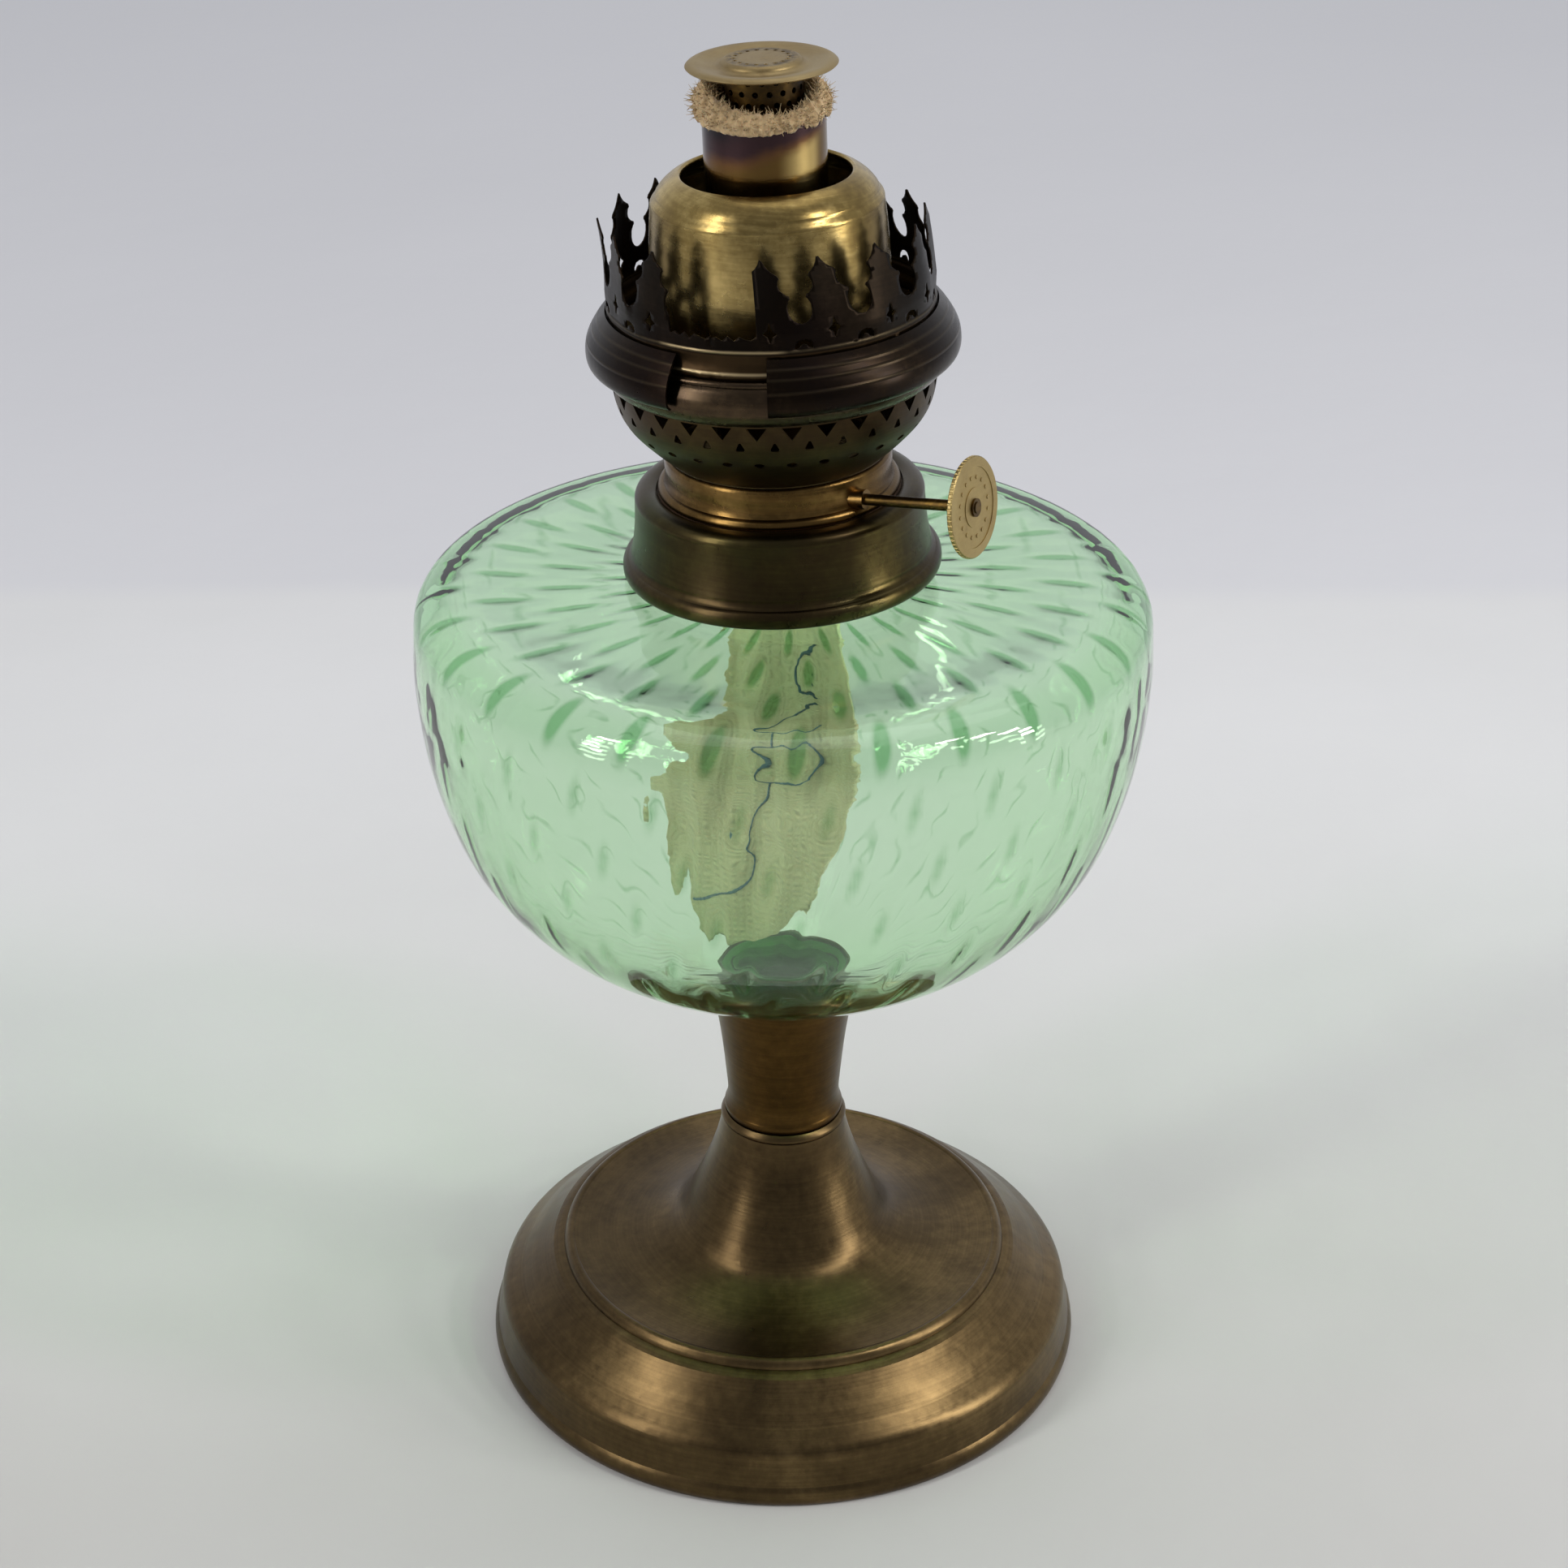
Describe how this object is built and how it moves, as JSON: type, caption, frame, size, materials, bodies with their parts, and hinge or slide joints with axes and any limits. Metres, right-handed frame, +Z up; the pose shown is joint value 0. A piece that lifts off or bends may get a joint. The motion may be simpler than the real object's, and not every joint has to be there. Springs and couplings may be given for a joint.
{
  "type": "oil lamp",
  "caption": "Kerosene table lamp: spun brass foot, green glass font and a leaning round-wick burner with a flame disc, pierced gallery and side knob, no chimney.",
  "frame": {"origin": "centre of the foot's underside, on the surface that the lamp stands on", "axes": "+Z up the lamp; -Y is the front, +X the side of the knob"},
  "size_m": [0.1618, 0.1618, 0.3143],
  "materials": {
    "brass_foot": "aged, softly polished",
    "brass_cup": "aged, softly polished",
    "brass_collar": "dark patina",
    "brass_burner": "worn satin",
    "brass_basket": "dark patina",
    "brass_gallery": "dark patina",
    "brass_disc": "matt, lightly oxidised",
    "brass_thimble": "sooty",
    "steel": "dull",
    "plaster": "matt",
    "felt": "matt",
    "leather": "matt",
    "glass": "clear, optic moulded",
    "wick": "woven cotton"
  },
  "bodies": {
    "root": {"base_shell": "brass_foot", "base_weight": "plaster", "base_felt": "felt", "tie_rod": "steel", "rod_nut": "steel", "rod_washer": "steel", "rod_cross_plate": "steel", "stem_cup": "brass_cup", "cup_nut": "steel", "font_plaster": "plaster", "glass_font": "glass", "collar_plaster": "plaster", "collar": "brass_collar"},
    "gasket": {"burner_gasket": "leather"},
    "burner": {"burner_base_ring": "brass_burner", "burner_floor": "brass_basket", "outer_wick_tube": "brass_burner", "inner_draft_tube": "brass_basket", "air_duct": "brass_basket", "air_basket": "brass_basket", "basket_rim": "brass_basket", "dome": "brass_burner", "spindle_bush": "brass_burner", "spindle_bracket": "brass_burner"},
    "gallery": {"gallery_rim": "brass_gallery", "gallery_crown": "brass_gallery"},
    "spreader": {"flame_disc": "brass_disc", "spreader_thimble": "brass_thimble", "spreader_stem": "steel", "spreader_guide": "brass_thimble"},
    "knob": {"spindle": "steel", "knob_disc": "brass_disc", "knob_rivet": "steel", "star_wheels": "steel"},
    "wick": {"wick_sleeve": "wick", "wick_tail": "wick"}
  },
  "joints": [
    {"name": "burner_turn", "type": "hinge", "parent": "root", "child": "gasket", "pos_m": [-0.00085, 0, 0.22198], "axis": [-0.0384, 0, 0.9993], "continuous": true},
    {"name": "burner_lift", "type": "slide", "parent": "gasket", "child": "burner", "axis": [-0.0384, 0, 0.9993], "range_m": [0, 0.13], "deforming": ["wick_tail"]},
    {"name": "gallery_lift", "type": "slide", "parent": "burner", "child": "gallery", "axis": [-0.0384, 0, 0.9993], "range_m": [0, 0.045]},
    {"name": "spreader_lift", "type": "slide", "parent": "burner", "child": "spreader", "axis": [-0.0384, 0, 0.9993], "range_m": [0, 0.07]},
    {"name": "knob_turn", "type": "hinge", "parent": "burner", "child": "knob", "pos_m": [-0.00486, -0.00706, 0.22323], "axis": [0.8629, -0.4868, 0.136], "range_deg": [-128, 48]},
    {"name": "wick_rise", "type": "slide", "parent": "burner", "child": "wick", "axis": [-0.0384, 0, 0.9993], "range_m": [-0.007, 0.0026], "deforming": ["wick_tail"]}
  ],
  "couplings": [
    {"joint": "wick_rise", "follows": "knob_turn", "m_per_rad": 0.0031}
  ]
}
